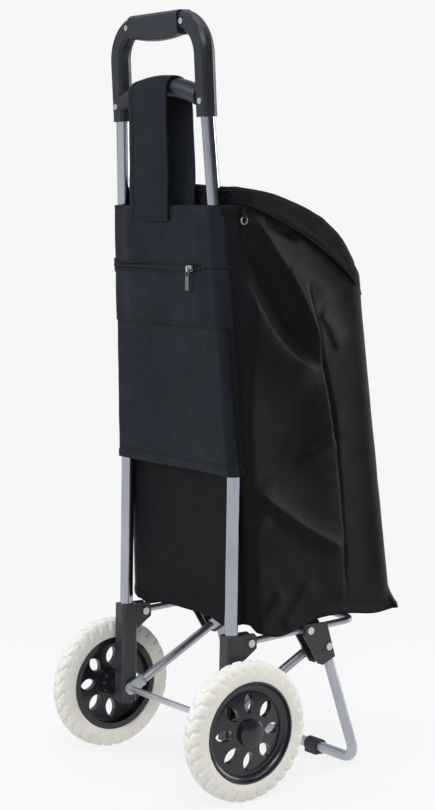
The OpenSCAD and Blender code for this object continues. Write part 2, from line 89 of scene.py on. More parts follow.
# ---------------------------------------------------------------- node materials
class Mat:
    """A Principled material with short ways to add nodes."""

    def __init__(self, name, color=(0.5, 0.5, 0.5), **sockets):
        self.m = bpy.data.materials.new(name)
        self.m.use_nodes = True
        self.nt = self.m.node_tree
        self.bsdf = next(n for n in self.nt.nodes if n.type == "BSDF_PRINCIPLED")
        self.bsdf.inputs["Base Color"].default_value = (*color, 1)
        for k, v in sockets.items():
            self.bsdf.inputs[k.replace("_", " ")].default_value = v
        self.coord = self.node("ShaderNodeTexCoord")
        self.height = None

    def node(self, kind, **settings):
        n = self.nt.nodes.new(kind)
        for k, v in settings.items():
            if k in n.inputs:
                n.inputs[k].default_value = v
            else:
                setattr(n, k, v)
        return n

    def link(self, a, b):
        self.nt.links.new(a, b)

    def mapped(self, scale=(1, 1, 1)):
        m = self.node("ShaderNodeMapping")
        m.inputs["Scale"].default_value = scale
        self.link(self.coord.outputs["Object"], m.inputs["Vector"])
        return m.outputs["Vector"]

    def noise(self, scale, detail=2.0, stretch=(1, 1, 1), rough=0.5):
        n = self.node("ShaderNodeTexNoise", Scale=scale, Detail=detail, Roughness=rough)
        self.link(self.mapped(stretch), n.inputs["Vector"])
        return n.outputs["Fac"]

    def math(self, op, a, b=None):
        n = self.node("ShaderNodeMath", operation=op)
        for s, v in ((0, a), (1, b)):
            if v is None:
                continue
            if isinstance(v, (int, float)):
                n.inputs[s].default_value = v
            else:
                self.link(v, n.inputs[s])
        return n.outputs[0]

    def ramp(self, fac, lo, hi, c0, c1, socket="Base Color"):
        """Feeds a colour or a number between c0 and c1 as fac goes from lo to hi."""
        n = self.node("ShaderNodeMapRange")
        n.inputs["From Min"].default_value = lo
        n.inputs["From Max"].default_value = hi
        self.link(fac, n.inputs["Value"])
        if isinstance(c0, (int, float)):
            n.inputs["To Min"].default_value = c0
            n.inputs["To Max"].default_value = c1
            out = n.outputs["Result"]
        else:
            mix = self.node("ShaderNodeMix", data_type="RGBA")
            mix.inputs["A"].default_value = mix.inputs[6].default_value = (*c0, 1)
            mix.inputs[7].default_value = (*c1, 1)
            self.link(n.outputs["Result"], mix.inputs[0])
            out = mix.outputs[2]
        if socket:
            self.link(out, self.bsdf.inputs[socket])
        return out

    def bump(self, fac, distance, strength=1.0):
        n = self.node("ShaderNodeBump", Distance=distance, Strength=strength)
        self.link(fac, n.inputs["Height"])
        if self.height is not None:
            self.link(self.height, n.inputs["Normal"])
        self.height = n.outputs["Normal"]
        self.link(self.height, self.bsdf.inputs["Normal"])

    def weave(self, pitch, distance, strength=1.0):
        """Threads across each other on faces of any direction."""
        total = None
        facing = self.node("ShaderNodeSeparateXYZ")
        self.link(self.coord.outputs["Normal"], facing.inputs[0])
        for axis in "XYZ":
            w = self.node("ShaderNodeTexWave", wave_type="BANDS", bands_direction=axis, Distortion=0.0)
            w.inputs["Scale"].default_value = 2 * math.pi / 20 / pitch
            self.link(self.mapped(), w.inputs["Vector"])
            across = self.math("SUBTRACT", 1.0, self.math("ABSOLUTE", facing.outputs[axis]))
            band = self.math("MULTIPLY", w.outputs["Fac"], self.math("POWER", across, 0.7))
            total = band if total is None else self.math("ADD", total, band)
        self.bump(total, distance, strength)
        return total


WEAVE_PITCH, WEAVE_DEPTH, CRUMPLE_DEPTH = 0.0013, 0.00022, 0.0010


def cloth_material(name, dark, light, rough=(0.36, 0.52), spec=0.22, sheen=0.02, pitch=WEAVE_PITCH):
    """Woven cloth: its colour and roughness vary softly, it crumples finely and its threads show close up."""
    m = Mat(name, dark, Specular_IOR_Level=spec, Sheen_Weight=sheen, Sheen_Roughness=0.4)
    m.ramp(m.noise(9, 4), 0.3, 0.7, dark, light)
    m.ramp(m.noise(60, 3), 0.3, 0.7, rough[0], rough[1], "Roughness")
    m.bump(m.noise(45, 4, rough=0.6), CRUMPLE_DEPTH, 0.35)
    m.weave(pitch, WEAVE_DEPTH, 0.7)
    return m.m


def plastic_material(name, dark, light, rough=(0.3, 0.42), grain=900, depth=0.00012, spec=0.5):
    """Moulded plastic or rubber with a fine grain."""
    m = Mat(name, dark, Specular_IOR_Level=spec)
    m.ramp(m.noise(25, 3), 0.3, 0.7, dark, light)
    m.ramp(m.noise(70, 4), 0.3, 0.7, rough[0], rough[1], "Roughness")
    m.bump(m.noise(grain, 2), depth, 0.6)
    return m.m


def steel_material(name, dark, light, rough, stretch=(90, 90, 3), metallic=1.0, depth=0.00005):
    """Metal whose roughness runs in streaks along Z."""
    m = Mat(name, dark, Metallic=metallic)
    streak = m.noise(4, 4, stretch)
    m.ramp(m.noise(14, 3), 0.3, 0.7, dark, light)
    m.ramp(streak, 0.25, 0.75, rough[0], rough[1], "Roughness")
    m.bump(streak, depth, 0.5)
    return m.m


NAVY_DARK = (0.0062, 0.0074, 0.0128)
CLOTH = cloth_material("woven_black", (0.0028, 0.0031, 0.0041), (0.0040, 0.0043, 0.0056), spec=0.075)
CLOTH_FLAP = cloth_material(
    "woven_flap", (0.0058, 0.0061, 0.0072), (0.0082, 0.0086, 0.0100), spec=0.03, sheen=0.0
)
CLOTH_PANEL = cloth_material("woven_panel", NAVY_DARK, (0.0082, 0.0097, 0.0168), (0.40, 0.55), 0.09)
WEBBING = cloth_material("strap_cloth", NAVY_DARK, (0.0084, 0.0098, 0.0170), (0.45, 0.6), 0.09)
THREAD = cloth_material(
    "thread", (0.008, 0.009, 0.013), (0.013, 0.014, 0.020), (0.5, 0.6), 0.2, 0.05, 0.0006
)
SLOT_MATERIALS = {
    "upright_steel": steel_material(
        "satin_tube", (0.34, 0.36, 0.41), (0.41, 0.43, 0.49), (0.13, 0.22)
    ),
    "frame_steel": steel_material(
        "satin_rod", (0.40, 0.41, 0.45), (0.50, 0.51, 0.56), (0.36, 0.50), (40, 40, 40), 0.85
    ),
    "bright_steel": steel_material(
        "plated_steel", (0.50, 0.51, 0.53), (0.62, 0.63, 0.65), (0.28, 0.40), (60, 60, 60), 0.9
    ),
    "grip_plastic": plastic_material(
        "grip_black", (0.0065, 0.0078, 0.0130), (0.0100, 0.0120, 0.0195), (0.30, 0.42), 700, 0.00018, 0.35
    ),
    "bracket_plastic": plastic_material(
        "bracket_black", (0.014, 0.015, 0.018), (0.022, 0.023, 0.027), (0.34, 0.46), 800, 0.00015
    ),
    "black_plastic": plastic_material(
        "plug_black", (0.010, 0.010, 0.012), (0.016, 0.016, 0.019), (0.35, 0.5)
    ),
    "gloss_hub": plastic_material(
        "hub_black", (0.008, 0.009, 0.012), (0.013, 0.014, 0.018), (0.20, 0.30), 500, 0.00008
    ),
    "bush_plastic": plastic_material("bush_grey", (0.25, 0.25, 0.25), (0.32, 0.32, 0.31), (0.4, 0.5)),
    "foot_rubber": plastic_material(
        "foot_black", (0.010, 0.010, 0.011), (0.018, 0.018, 0.019), (0.5, 0.65), 500, 0.0002
    ),
}


def tyre_material():
    """Cream foam with fine pores."""
    m = Mat("foam_tyre", (0.66, 0.63, 0.57), Specular_IOR_Level=0.3)
    m.ramp(m.noise(30, 5, rough=0.65), 0.3, 0.7, (0.66, 0.645, 0.575), (0.74, 0.72, 0.655))
    m.ramp(m.noise(90, 3), 0.3, 0.7, 0.55, 0.75, "Roughness")
    m.bump(m.noise(260, 4), 0.0006, 0.5)
    m.bump(m.noise(1500, 2), 0.0002, 0.5)
    return m.m


TYRE = tyre_material()
BOARD = plastic_material("board_cover", (0.02, 0.02, 0.022), (0.03, 0.03, 0.033), (0.6, 0.7), 300, 0.0003)

NICKEL = steel_material(
    "dark_nickel", (0.16, 0.16, 0.18), (0.24, 0.24, 0.26), (0.25, 0.4), (60, 60, 60)
)

for node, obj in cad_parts.items():
    old = obj.data.materials[0].name.split(".")[0] if obj.data.materials else ""
    if old in SLOT_MATERIALS:
        for k in range(len(obj.data.materials)):
            obj.data.materials[k] = NICKEL if node == "zip_puller" else SLOT_MATERIALS[old]


# ---------------------------------------------------------------- mesh helpers
def add_mesh(name, verts, faces, material, smooth=True):
    """An object from points in millimetres."""
    me = bpy.data.meshes.new(name)
    me.from_pydata(metres(verts).tolist(), [], [list(map(int, f)) for f in faces])
    me.validate()
    me.update()
    me.materials.append(material)
    me.polygons.foreach_set("use_smooth", [smooth] * len(me.polygons))
    ob = bpy.data.objects.new(name, me)
    bpy.context.scene.collection.objects.link(ob)
    return ob


def grid_faces(nv, nu, close_u=False, close_v=False, flip=False, start=0):
    """Quads between nv rows of nu points; a closed direction joins its last point to its first."""
    rows, columns = np.arange(nv if close_v else nv - 1), np.arange(nu if close_u else nu - 1)
    j, i = np.meshgrid(rows, columns, indexing="ij")
    i2, j2 = (i + 1) % nu, (j + 1) % nv
    quad = np.stack([j * nu + i, j * nu + i2, j2 * nu + i2, j2 * nu + i], -1).reshape(-1, 4) + start
    return quad[:, ::-1] if flip else quad


def grid_normals(p, close_u=False):
    if close_u:
        du = np.roll(p, -1, 1) - np.roll(p, 1, 1)
    else:
        du = np.gradient(p, axis=1)
    n = np.cross(du, np.gradient(p, axis=0))
    return n / np.maximum(np.linalg.norm(n, axis=-1, keepdims=True), 1e-9)


def sheet_mesh(name, p, thickness, material, flip=False):
    """A grid of points as a closed piece of cloth: the given face, a face thickness behind it, and a rim."""
    n = grid_normals(p) * (-1 if flip else 1)
    nv, nu = p.shape[:2]
    back = p - n * thickness
    verts = np.concatenate([p.reshape(-1, 3), back.reshape(-1, 3)])
    front = grid_faces(nv, nu, flip=flip)
    rear = grid_faces(nv, nu, flip=not flip, start=nv * nu)
    loop = [(0, i) for i in range(nu)] + [(j, nu - 1) for j in range(1, nv)]
    loop += [(nv - 1, i) for i in range(nu - 2, -1, -1)] + [(j, 0) for j in range(nv - 2, 0, -1)]
    ids = [j * nu + i for j, i in loop]
    ring = []
    for a, b in zip(ids, ids[1:] + ids[:1]):
        f = [b, a, a + nv * nu, b + nv * nu]
        ring.append(f[::-1] if flip else f)
    return add_mesh(name, verts, [*front, *rear, *ring], material)


def smooth01(t):
    t = np.clip(t, 0, 1)
    return t * t * (3 - 2 * t)


_lattice = {}


def noise3(p, scale, seed=1):
    """Smooth value noise between -1 and 1, with features about scale millimetres across."""
    if seed not in _lattice:
        _lattice[seed] = np.random.RandomState(seed).uniform(-1, 1, (32, 32, 32))
    g = _lattice[seed]
    q = np.asarray(p, float) / scale + 100.37
    i = np.floor(q).astype(int)
    f = q - i
    f = f * f * (3 - 2 * f)
    out = 0
    for dx in (0, 1):
        for dy in (0, 1):
            for dz in (0, 1):
                corner = (dx, dy, dz)
                w = np.prod([f[..., k] if step else 1 - f[..., k] for k, step in enumerate(corner)], axis=0)
                out = out + w * g[tuple((i[..., k] + step) % 32 for k, step in enumerate(corner))]
    return out


def to_line(y, z, line):
    """Signed distance to a polyline in the side's plane, and how far along it the nearest point lies.

    The distance is positive on the line's left; the place along it runs from 0 to 1."""
    line = np.asarray(line, float)
    seg = np.linalg.norm(np.diff(line, axis=0), axis=1)
    total = seg.sum()
    best = np.full(y.shape, 1e9)
    side = np.zeros(y.shape)
    share = np.zeros(y.shape)
    done = 0.0
    for a, b, s in zip(line, line[1:], seg):
        d = (b - a) / s
        t = np.clip((y - a[0]) * d[0] + (z - a[1]) * d[1], 0, s)
        ey, ez = y - a[0] - t * d[0], z - a[1] - t * d[1]
        dist = np.hypot(ey, ez)
        near = dist < best
        best = np.where(near, dist, best)
        side = np.where(near, np.sign(d[0] * ez - d[1] * ey), side)
        share = np.where(near, (done + t) / total, share)
        done += s
    return best * side, share


def curve(start, *rest, steps=24):
    """Points along the Bezier curve from start to the last point, steered by those between."""
    points = [np.array(q, float) for q in (start, *rest)]
    t = np.linspace(0, 1, steps)[:, None]
    while len(points) > 1:
        points = [a + (b - a) * t for a, b in zip(points, points[1:])]
    return points[0]


def ridge(y, z, line, height, left, right, fade=(0.12, 0.2), crisp=False):
    """A fold along a line: height at the line, falling away over left and right millimetres.

    A crisp fold falls away on its left at once instead of being rounded there."""
    d, t = to_line(y, z, line)
    w = np.where(d > 0, left, right)
    ends = smooth01(t / fade[0]) * smooth01((1 - t) / fade[1])
    fall = np.where(crisp & (d > 0), np.clip(d, 0, None) / w, (d / w) ** 2)
    return height * np.exp(-fall) * ends


# Rings along one stitch: place along it, size and lift from the cloth
STITCH_RINGS = [(-0.5, 0.35, -0.15), (-0.3, 1.0, 0.12), (0.3, 1.0, 0.12), (0.5, 0.35, -0.15)]


def stitches(name, points, out, pitch=4.2, length=2.9, radius=0.38, body="frame"):
    """A row of single stitches along a line of points; out points away from the cloth."""
    points = np.asarray(points, float)
    seg = np.linalg.norm(np.diff(points, axis=0), axis=1)
    s = np.concatenate([[0], np.cumsum(seg)])
    count = max(1, int(s[-1] / pitch))
    mids = (np.arange(count) + 0.5) * s[-1] / count
    out = np.broadcast_to(np.asarray(out, float), points.shape)

    def at(place, values):
        return np.array([np.interp(place, s, values[:, k]) for k in range(3)])

    verts, faces = [], []
    for m in mids:
        c = at(m, points)
        n = at(m, out)
        n = n / np.linalg.norm(n)
        t = at(m + 0.5, points) - at(m - 0.5, points)
        t = t / np.linalg.norm(t)
        b = np.cross(n, t)
        base = len(verts)
        for along, size, lift in STITCH_RINGS:
            for k in range(6):
                a = 2 * math.pi * k / 6
                spoke = (b * math.cos(a) + n * math.sin(a)) * radius * size
                verts.append(c + t * length * along + spoke + n * lift)
        for r in range(3):
            for k in range(6):
                k2 = (k + 1) % 6
                this, after = base + r * 6, base + r * 6 + 6
                faces.append([this + k, this + k2, after + k2, after + k])
        faces.append([base + k for k in range(5, -1, -1)])
        faces.append([base + 18 + k for k in range(6)])
    ob = add_mesh(name, np.array(verts), faces, THREAD)
    return cloth_piece(ob, body, squash=body == "flap")


def cloth_piece(obj, body, *nodes, squash=False):
    """Common calls for a piece of the bag: what it rides on, what it stands for, and a mesh of its own when
    squash is set.
    """
    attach(obj, body)
    if nodes:
        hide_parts(*nodes)
    if squash:
        fold_up(obj)
    return obj


def fold_up(obj):
    """Gives the object a mesh of its own."""
    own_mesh(obj)


# ---------------------------------------------------------------- bag
bag_lo, bag_hi = box_mm("bag_body")
HALF, FRONT, BASE = bag_hi[0], bag_hi[1], bag_lo[2]
BACK = 15.0
FRONT_SLOPE, BACK_SLOPE = math.tan(math.radians(8.5)), 0.047
HEM_Z, HEM_WIDTH = 200.0, 9.5
CLOTH_T = 1.4
# The upper edge, as [y, z]: high at the back, then falling towards the front
MOUTH = np.array([(-30, 703), (-3, 703), (10, 688), (100, 660), (150, 636), (182, 604), (300, 604)], float)

# Lines on the side, as [y, z]: the sewn seam, then the folds from the mouth's back corner downwards
SEAM = curve((85, 610), (162, 400), (162, 196))
FOLD_1 = curve((-20, 660), (0, 580), (60, 500), (120, 495))
FOLD_2 = curve((6, 680), (40, 635), (95, 585), (120, 500))
HOLLOW = (0.5 * (FOLD_1 + FOLD_2))[2:-4]
UNDER_FLAP = curve((26, 675), (50, 660), (82, 652))
TONGUE = curve((110, 565), (132, 545), (147, 515))
HIGH_CREASE = curve((58, 616), (100, 604), (132, 582))
WEDGE = curve((78, 392), (110, 396), (138, 416))
FOLD_LOW = curve((22, 360), (90, 310), (160, 278))
LOW_KNOT = curve((8, 303), (36, 325), (56, 329))
HEM_PUCKER_1 = [(30, 196), (48, 214), (66, 240)]
HEM_PUCKER_2 = [(66, 192), (88, 216), (112, 250)]
END_FADE = (0.12, 0.2)
# Each fold's line, height (below zero for a hollow), reach on its left and right, end fades and crispness
FOLDS = [
    (FOLD_1, 9.5, 4.2, 34, (0.08, 0.16), False),
    (FOLD_2, 9.5, 26, 6.5, (0.08, 0.22), True),
    (HOLLOW, -6.0, 14, 14, (0.15, 0.25), False),
    (UNDER_FLAP, -7.0, 10, 7, END_FADE, False),
    (TONGUE, 3.5, 16, 5, END_FADE, False),
    (HIGH_CREASE, 2.2, 7, 12, END_FADE, False),
    (WEDGE, 4.5, 5, 14, (0.5, 0.12), False),
    (FOLD_LOW, 7.5, 11, 7, (0.15, 0.12), True),
    (LOW_KNOT, 4.0, 7, 11, (0.25, 0.4), False),
    (HEM_PUCKER_1, 2.0, 7, 12, END_FADE, False),
    (HEM_PUCKER_2, 1.8, 8, 14, END_FADE, False),
]


def dip(where, middle, width):
    """A soft bump of height 1."""
    return np.exp(-(((where - middle) / width) ** 2))


def side_hem(y):
    """Height of the lower edge along the side: it sags most behind the middle, a little near the front."""
    return HEM_Z - 17 * dip(y, 60, 40) - 5 * dip(y, 208, 30)


def back_hem(x):
    """Height of the lower edge along the back: it sags beside each upright and rises at the corners."""
    return HEM_Z - 7 * dip(np.abs(x), 80, 22) + 4 * smooth01((np.abs(x) - 105) / 20)


def front_hem(x):
    """Height of the lower edge along the front."""
    return 197 + 1.5 * np.cos(x / 40.0) + 2.0 * smooth01((np.abs(x) - 95) / 20)


def bag_front(z):
    return FRONT - (z - BASE) * FRONT_SLOPE


def bag_back(z):
    return BACK - (z - BASE) * BACK_SLOPE


def corner_front(z):
    """Radius of the front corners, smaller near the hem."""
    return 13 + 11 * smooth01((z - 196) / 34)


N_BACK, N_ARC_B, N_SIDE, N_ARC_F, N_FRONT = 26, 9, 72, 14, 52
CORNER_B = 20.0


def arc(x, y, radius, start, steps):
    """A quarter turn about x, y from start degrees: points and outward normals."""
    turns = np.radians(np.linspace(start, start + 90, steps, endpoint=False))
    return [(x + radius * math.cos(a), y + radius * math.sin(a), math.cos(a), math.sin(a)) for a in turns]


def bag_section(z):
    """Plan of the bag at one height, anticlockwise from the middle of the back, with outward normals."""
    yb, yf, rf = bag_back(z), bag_front(z), corner_front(z)
    half = [(t * (HALF - CORNER_B), yb, 0, -1) for t in np.linspace(0, 1, N_BACK, endpoint=False)]
    half += arc(HALF - CORNER_B, yb + CORNER_B, CORNER_B, -90, N_ARC_B)
    straight = yf - rf - yb - CORNER_B
    half += [(HALF, yb + CORNER_B + t * straight, 1, 0) for t in np.linspace(0, 1, N_SIDE, endpoint=False)]
    half += arc(HALF - rf, yf - rf, rf, 0, N_ARC_F)
    half += [((HALF - rf) * (1 - t), yf, 0, 1) for t in np.linspace(0, 1, N_FRONT // 2, endpoint=False)]
    half = np.array(half)
    middle = np.array([[0, yf, 0, 1]])
    other = half[1:][::-1] * [-1, 1, -1, 1]
    return np.concatenate([half, middle, other])


def bag_relief(p, n):
    """How far the cloth stands out from the plain loft at each point.

    The far side's folds are shifted a little, so that the two sides differ."""
    x, y, z = p[..., 0], p[..., 1], p[..., 2]
    side = smooth01((np.abs(n[..., 0]) - 0.35) / 0.5)
    far = np.where(x > 0, 0.0, 1.0)
    ys = y + far * (4 + 5 * noise3(p, 70, 8))
    zs = z + far * (-9 + 6 * noise3(p, 60, 9))
    d_seam, _ = to_line(y, z, SEAM)
    ahead = np.clip(d_seam, 0, None)
    out = np.zeros(x.shape)
    for line, height, left, right, fade, crisp in FOLDS:
        out += side * ridge(ys, zs, line, height, left, right, fade, crisp)
    hang = smooth01((z - 205) / 60) * smooth01((608 - z) / 22)
    out -= side * hang * 0.09 * ahead * smooth01((bag_front(z) - 6 - y) / 50)
    lip = 1.8 + 4.2 * dip(z, 450, 75)
    out += side * hang * lip * dip(d_seam, -4, np.where(d_seam < -4, 30, 3.2))
    gap = dip(z, 450, 60)
    out -= side * hang * (1.8 + 2.4 * gap) * dip(d_seam, 1.5 + 1.5 * gap, 1.8 + 2.0 * gap)
    out -= side * 5.0 * dip(y, 62, 50) * dip(z, 430, 90)
    body_p = p * [1, 1, 0.45]
    out += 1.3 * noise3(body_p, 75, 3) + 0.5 * noise3(p, 34, 4) + 0.18 * noise3(p, 14, 5)
    return out


ROWS = 176
low = bag_section(BASE)
count = len(low)
rim = np.full(count, MOUTH[1, 1])
for _ in range(5):
    rim = np.interp([bag_section(z)[i, 1] for i, z in enumerate(rim)], MOUTH[:, 0], MOUTH[:, 1])
w_back, w_front = smooth01((-low[:, 3] - 0.3) / 0.6), smooth01((low[:, 3] - 0.3) / 0.6)
hem = side_hem(low[:, 1]) * (1 - w_back - w_front)
hem += back_hem(low[:, 0]) * w_back + front_hem(low[:, 0]) * w_front
bag = np.zeros((ROWS, count, 3))
bag_n = np.zeros((ROWS, count, 3))
plans = {}
for j, v in enumerate(np.linspace(0, 1, ROWS)):
    for i, z in enumerate(hem + v * (rim - hem)):
        key = round(float(z), 1)
        if key not in plans:
            plans[key] = bag_section(key)
        x, y, nx, ny = plans[key][i]
        bag[j, i] = (x, y, z)
        bag_n[j, i] = (nx, ny, 0)
edge_fade = smooth01((bag[..., 2] - hem[None, :]) / 16) * 0.75 + 0.25
relief = bag_relief(bag, bag_n) * edge_fade
relief *= 1 - 0.8 * smooth01((-bag_n[..., 1] - 0.2) / 0.5)
relief *= 1 - 0.85 * smooth01((bag[..., 2] - rim[None, :] + 26) / 22)
relief += 0.9 * smooth01((hem[None, :] + HEM_WIDTH - bag[..., 2]) / 1.5)
tip = smooth01((np.abs(bag_n[..., 0] * bag_n[..., 1]) - 0.2) / 0.25) * (bag_n[..., 1] > 0)
relief += tip * 5.0 * dip(bag[..., 2], 200, 14)
bag = bag + bag_n * relief[..., None]

outer_n = grid_normals(bag, True)
if (outer_n * bag_n).sum() < 0:
    outer_n = -outer_n
inner = (bag - outer_n * CLOTH_T)[::-1][::2]
inner[-1] = (bag - outer_n * CLOTH_T)[0] + [0, 0, 4.5]
centre = np.array([0, (BACK + FRONT) / 2, 0])


def floor_rings(edge, z, scales):
    """Rings that close the bag's floor, from the edge's outline scaled about the middle."""
    rings = []
    for s in scales:
        ring = centre + (edge - centre) * [s, s, 0]
        ring[:, 2] = z + 0.8 * noise3(ring, 45, 12)
        rings.append(ring)
    return rings


tuck = bag[0] - bag_n[0] * 3.2 + [0, 0, 1.0]
tuck_up = bag[0] - bag_n[0] * 4.5
tuck_up[:, 2] = np.maximum(196.0, bag[0, :, 2] + 1.5)
under = floor_rings(bag[0], 197.0, [0.02, 0.2, 0.4, 0.6, 0.78, 0.9])
inside = floor_rings(bag[0], 201.5, [0.93, 0.7, 0.45, 0.2, 0.02])
stack = np.concatenate([under, [tuck_up, tuck], bag, inner[:-1], inside])
faces = list(grid_faces(len(stack), count, close_u=True))
faces.append(list(range(count - 1, -1, -1)))
faces.append([(len(stack) - 1) * count + k for k in range(count)])
bag_obj = add_mesh("bag_shell", stack.reshape(-1, 3), faces, CLOTH)
cloth_piece(bag_obj, "frame", "bag_body", squash=True)


def rounded_slab(name, lo, hi, radius, bevel, material):
    """A flat slab with rounded corners and rounded edges."""
    rings = []
    below = [(bevel * 2.5, lo[2]), (bevel * 0.3, lo[2] + bevel * 0.3), (0, lo[2] + bevel)]
    above = [(0, hi[2] - bevel), (bevel * 0.3, hi[2] - bevel * 0.3), (bevel * 2.5, hi[2])]
    for inset, z in below + above:
        ring = []
        for cx, cy, a0 in ((hi[0], hi[1], 0), (lo[0], hi[1], 90), (lo[0], lo[1], 180), (hi[0], lo[1], 270)):
            sx, sy = (1 if cx == hi[0] else -1), (1 if cy == hi[1] else -1)
            for a in np.radians(np.linspace(a0, a0 + 90, 9)):
                r = radius - inset
                x, y = cx - sx * radius + r * math.cos(a), cy - sy * radius + r * math.sin(a)
                ring.append((x, y, z))
        rings.append(ring)
    rings = np.array(rings)
    n = rings.shape[1]
    caps = [list(range(n - 1, -1, -1)), [(len(rings) - 1) * n + k for k in range(n)]]
    faces = [*grid_faces(len(rings), n, close_u=True), *caps]
    return add_mesh(name, rings.reshape(-1, 3), faces, material)


board = rounded_slab("floor_board", *box_mm("base_board"), 18, 0.8, BOARD)
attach(board, "frame")
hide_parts("base_board")
fold_up(board)

# ---------------------------------------------------------------- flap
FLAP_HALF = box_mm("bag_flap")[1][0]
FLAP_T, FLAP_ROWS = 1.8, 130
SKIRT_COLUMNS, SHOULDER_COLUMNS, TOP_COLUMNS = 26, 12, 40
# Side view, as [y, z]: the line over the top from the back to the lip, and the skirt's lower edge
FLAP_TOP = [(-9, 702), *curve((-8, 708.5), (90, 700), (170, 665), (184, 584))]
FLAP_EDGE = curve((-7, 690), (73, 665), (130, 633), (181, 584))


def lengths(line):
    """Distance along a line of points, from its first."""
    return np.concatenate([[0], np.cumsum(np.linalg.norm(np.diff(line, axis=0), axis=1))])


def resample(line, n):
    """n evenly spaced points along a line, its corners softened."""
    line = np.asarray(line, float)
    s = lengths(line)
    t = np.linspace(0, s[-1], n)
    out = np.stack([np.interp(t, s, line[:, k]) for k in range(line.shape[1])], 1)
    for _ in range(3):
        out[1:-1] = (out[:-2] + 2 * out[1:-1] + out[2:]) / 4
    return out


def flap_row(a, top, edge):
    """One row across the flap, a of the way from the back to the lip: skirt, shoulder and crowned top."""
    span = np.linalg.norm(edge - top)
    down = (edge - top) / span
    r = min(9 + 15 * smooth01((a - 0.6) / 0.4), span * 0.85)
    w = 112 + (FLAP_HALF - 112.6) * math.sin(math.pi / 2 * min(1, a / 0.09))
    w -= 10.0 * smooth01((a - 0.84) / 0.16)
    crown = 1.8 * math.sin(math.pi * min(1, a * 1.15)) + 2.2 + 3.5 * dip(a, 0, 0.22) * smooth01(a / 0.05)
    half = [(w, s) for s in np.linspace(span, r, SKIRT_COLUMNS, endpoint=False)]
    for f in np.linspace(0, math.pi / 2, SHOULDER_COLUMNS, endpoint=False):
        half.append((w - r + r * math.cos(f), r - r * math.sin(f)))
    for x in np.linspace(w - r, 0, TOP_COLUMNS):
        half.append((x, -crown * math.cos(math.pi / 2 * x / (w - r)) ** 2))
    half += [(-x, s) for x, s in half[-2::-1]]
    return [(x, top[0] + down[0] * s, top[1] + down[1] * s) for x, s in half]


top_line, edge_line = resample(FLAP_TOP, FLAP_ROWS), resample(FLAP_EDGE, FLAP_ROWS)
places = np.arange(FLAP_ROWS) / (FLAP_ROWS - 1)
flap_rows = [flap_row(a, top, edge) for a, top, edge in zip(places, top_line, edge_line)]
flap = np.array(flap_rows)
flap_n = grid_normals(flap)
if flap_n[FLAP_ROWS // 3, flap.shape[1] // 2, 2] < 0:
    flap_n = -flap_n
amp = 1.1 * noise3(flap, 62, 21) + 0.45 * noise3(flap, 27, 22)
fold_dir = 1 - np.abs(noise3(flap * [0.6, 1, 1], 52, 23))
amp += 0.7 * smooth01((fold_dir - 0.75) / 0.25)
n_cols = flap.shape[1]
col = np.arange(n_cols)
from_side = np.minimum(col, n_cols - 1 - col)[None, :] * np.ones((FLAP_ROWS, 1))
skirt_len = np.linalg.norm(edge_line - top_line, axis=1)[:, None]
from_hem = from_side / SKIRT_COLUMNS * np.maximum(skirt_len - 9, 1)
along = lengths(top_line)
from_lip = (along[-1] - along)[:, None] * np.ones((1, n_cols))
rim_dist = np.minimum(from_hem, from_lip)
amp *= smooth01(rim_dist / 14) * 0.8 + 0.2
amp += 0.8 * smooth01((HEM_WIDTH - rim_dist) / 1.2)
flap = flap + flap_n * amp[..., None]
flip_flap = (grid_normals(flap) * flap_n).sum() < 0
flap_obj = sheet_mesh("bag_lid", flap, FLAP_T, CLOTH_FLAP, flip=flip_flap)
cloth_piece(flap_obj, "flap", "bag_flap", squash=True)

# ---------------------------------------------------------------- rear panel
# Above BEND the uprights lean back and come together; WRAP_R is the cloth's radius round them
BEND = 376.0
LEAN_ANGLE = math.radians(3.88)
LEAN, CONVERGE = math.tan(LEAN_ANGLE), math.tan(math.radians(3.19))
WRAP_R = 9.0
BACK_COLUMNS, WRAP_COLUMNS, GUSSET_COLUMNS = 46, 18, 15
PANEL_Z0, PANEL_Z1 = 376.0, 687.0
SEAM_X = 119.2
SEAM_LOW, SEAM_REACH = 370.0, 320.0


def back_seam(z):
    """How far forward the panel's seam lies on the bag's side: it swings back towards the mouth."""
    return 15 - 22.5 * ((z - SEAM_LOW) / SEAM_REACH) ** 2


def tube_at(z):
    """Axis of the right upright at one height, as x and y."""
    return 110.4 - (z - BEND) * CONVERGE, -(z - BEND) * LEAN


def panel_half(z, lift=0.0):
    """Right half of the panel's section at one height: the back, round the tube, the gusset to the seam."""
    xt, yt = tube_at(z)
    r = WRAP_R + lift
    sx, sy = SEAM_X + 0.4 * lift, back_seam(z)
    dx, dy = sx - xt, sy - yt
    dist = math.hypot(dx, dy)
    tangent = math.atan2(dy, dx) - math.acos(min(1, r / dist))
    pts = []
    for t in np.linspace(0, 1, BACK_COLUMNS, endpoint=False):
        sag = 2.6 * math.cos(math.pi / 2 * t) ** 1.5
        pts.append((xt * t, yt - r + sag, 0, -1))
    for a in np.linspace(-math.pi / 2, tangent, WRAP_COLUMNS, endpoint=False):
        pts.append((xt + r * math.cos(a), yt + r * math.sin(a), math.cos(a), math.sin(a)))
    px, py = xt + r * math.cos(tangent), yt + r * math.sin(tangent)
    for t in np.linspace(0, 1, GUSSET_COLUMNS + 1):
        pts.append((px + (sx - px) * t, py + (sy - py) * t, math.cos(tangent), math.sin(tangent)))
    pts.append((sx + 1.0, sy + 4.0, 1, 0))
    pts.append((sx + 0.6, sy + 7.0, 1, 0))
    return np.array(pts)


